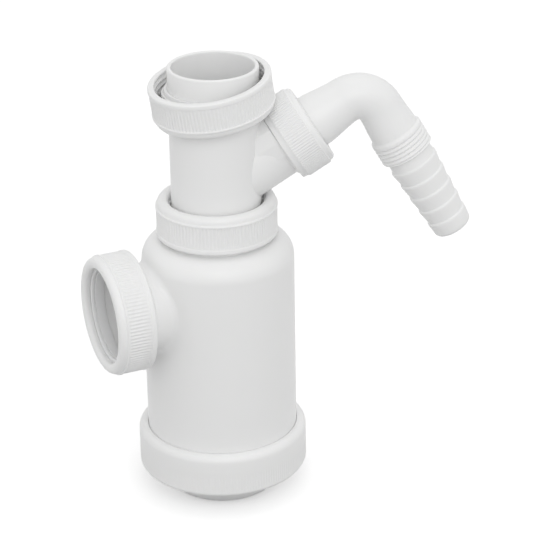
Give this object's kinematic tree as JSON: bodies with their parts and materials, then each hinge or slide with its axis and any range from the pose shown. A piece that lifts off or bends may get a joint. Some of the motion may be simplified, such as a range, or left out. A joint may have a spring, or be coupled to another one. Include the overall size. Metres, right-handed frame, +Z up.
{
  "type": "bottle trap",
  "caption": "Bottle trap for a basin: screw-capped bottle, sliding inlet tee and side outlet with ribbed union nuts, and a swivelling barbed hose elbow on an angled branch.",
  "frame": {"origin": "centre of the cap's flat underside, on the bottle's axis", "axes": "+Z up the bottle's axis, -X out of the side outlet, +Y by the right-hand rule"},
  "size_m": [0.1668, 0.079, 0.2041],
  "materials": {
    "shell_white": "satin",
    "nut_white": "satin",
    "seal_white": "matte"
  },
  "bodies": {
    "bottle": {"bottle_body": "shell_white", "outlet_seal": "seal_white"},
    "cap_gasket": {"cap_seal": "seal_white"},
    "cap": {"bottom_cap": "nut_white"},
    "neck_ring": {"neck_slip_ring": "seal_white"},
    "neck_union": {"neck_nut": "nut_white"},
    "neck_gland": {"neck_seal": "seal_white"},
    "tee": {"inlet_tee": "shell_white"},
    "inlet_gland": {"inlet_seal": "seal_white"},
    "inlet_ring": {"inlet_slip_ring": "seal_white"},
    "inlet_union_nut": {"inlet_nut": "nut_white"},
    "branch_ring": {"branch_slip_ring": "seal_white"},
    "branch_union": {"branch_nut": "nut_white"},
    "branch_gland": {"branch_seal": "seal_white"},
    "elbow": {"hose_elbow": "shell_white"},
    "outlet_ring": {"outlet_slip_ring": "seal_white"},
    "outlet_union": {"outlet_nut": "nut_white"}
  },
  "joints": [
    {"name": "cap_travel", "type": "slide", "parent": "bottle", "child": "cap_gasket", "axis": [0, 0, -1], "range_m": [0, 0.0165]},
    {"name": "cap_turn", "type": "hinge", "parent": "cap_gasket", "child": "cap", "pos_m": [0, 0, 0.014], "axis": [0, 0, -1], "range_deg": [0, 1440]},
    {"name": "neck_nut_travel", "type": "slide", "parent": "bottle", "child": "neck_ring", "axis": [0, 0, 1], "range_m": [0, 0.01175]},
    {"name": "neck_nut_turn", "type": "hinge", "parent": "neck_ring", "child": "neck_union", "pos_m": [0, 0, 0.134], "axis": [0, 0, 1], "range_deg": [0, 1800]},
    {"name": "tee_swivel", "type": "hinge", "parent": "neck_ring", "child": "neck_gland", "pos_m": [0, 0, 0.138], "axis": [0, 0, 1], "range_deg": [-180, 180]},
    {"name": "tee_height", "type": "slide", "parent": "neck_gland", "child": "tee", "axis": [0, 0, 1], "range_m": [0, 0.03]},
    {"name": "inlet_nut_lift", "type": "slide", "parent": "tee", "child": "inlet_gland", "axis": [0, 0, 1], "range_m": [0, 0.008]},
    {"name": "inlet_nut_rock", "type": "hinge", "parent": "inlet_gland", "child": "inlet_ring", "pos_m": [0.02593, 0.00439, 0.18601], "axis": [-0.1668, 0.986, 0], "range_deg": [0, 9]},
    {"name": "inlet_nut_turn", "type": "hinge", "parent": "inlet_ring", "child": "inlet_union_nut", "pos_m": [0.0003, 0.00005, 0.1836], "axis": [-0.1542, -0.0261, 0.9877], "continuous": true},
    {"name": "branch_nut_travel", "type": "slide", "parent": "tee", "child": "branch_ring", "axis": [0.8305, -0.2009, 0.5195], "range_m": [0, 0.00944]},
    {"name": "branch_nut_turn", "type": "hinge", "parent": "branch_ring", "child": "branch_union", "pos_m": [0.03571, -0.00864, 0.17004], "axis": [0.8305, -0.2009, 0.5195], "range_deg": [0, 1440]},
    {"name": "elbow_swivel", "type": "hinge", "parent": "tee", "child": "branch_gland", "pos_m": [0.03737, -0.00904, 0.17108], "axis": [0.8305, -0.2009, 0.5195], "range_deg": [-180, 180]},
    {"name": "elbow_depth", "type": "slide", "parent": "branch_gland", "child": "elbow", "axis": [0.8305, -0.2009, 0.5195], "range_m": [0, 0.012]},
    {"name": "outlet_nut_travel", "type": "slide", "parent": "bottle", "child": "outlet_ring", "axis": [-1, 0, 0], "range_m": [0, 0.01175]},
    {"name": "outlet_nut_turn", "type": "hinge", "parent": "outlet_ring", "child": "outlet_union", "pos_m": [-0.0485, 0, 0.0957], "axis": [-1, 0, 0], "range_deg": [0, 1800]}
  ],
  "couplings": [
    {"joint": "cap_travel", "follows": "cap_turn", "m_per_rad": 0.00063662},
    {"joint": "neck_nut_travel", "follows": "neck_nut_turn", "m_per_rad": 0.00036749},
    {"joint": "branch_nut_travel", "follows": "branch_nut_turn", "m_per_rad": 0.00036749},
    {"joint": "outlet_nut_travel", "follows": "outlet_nut_turn", "m_per_rad": 0.00036749}
  ]
}
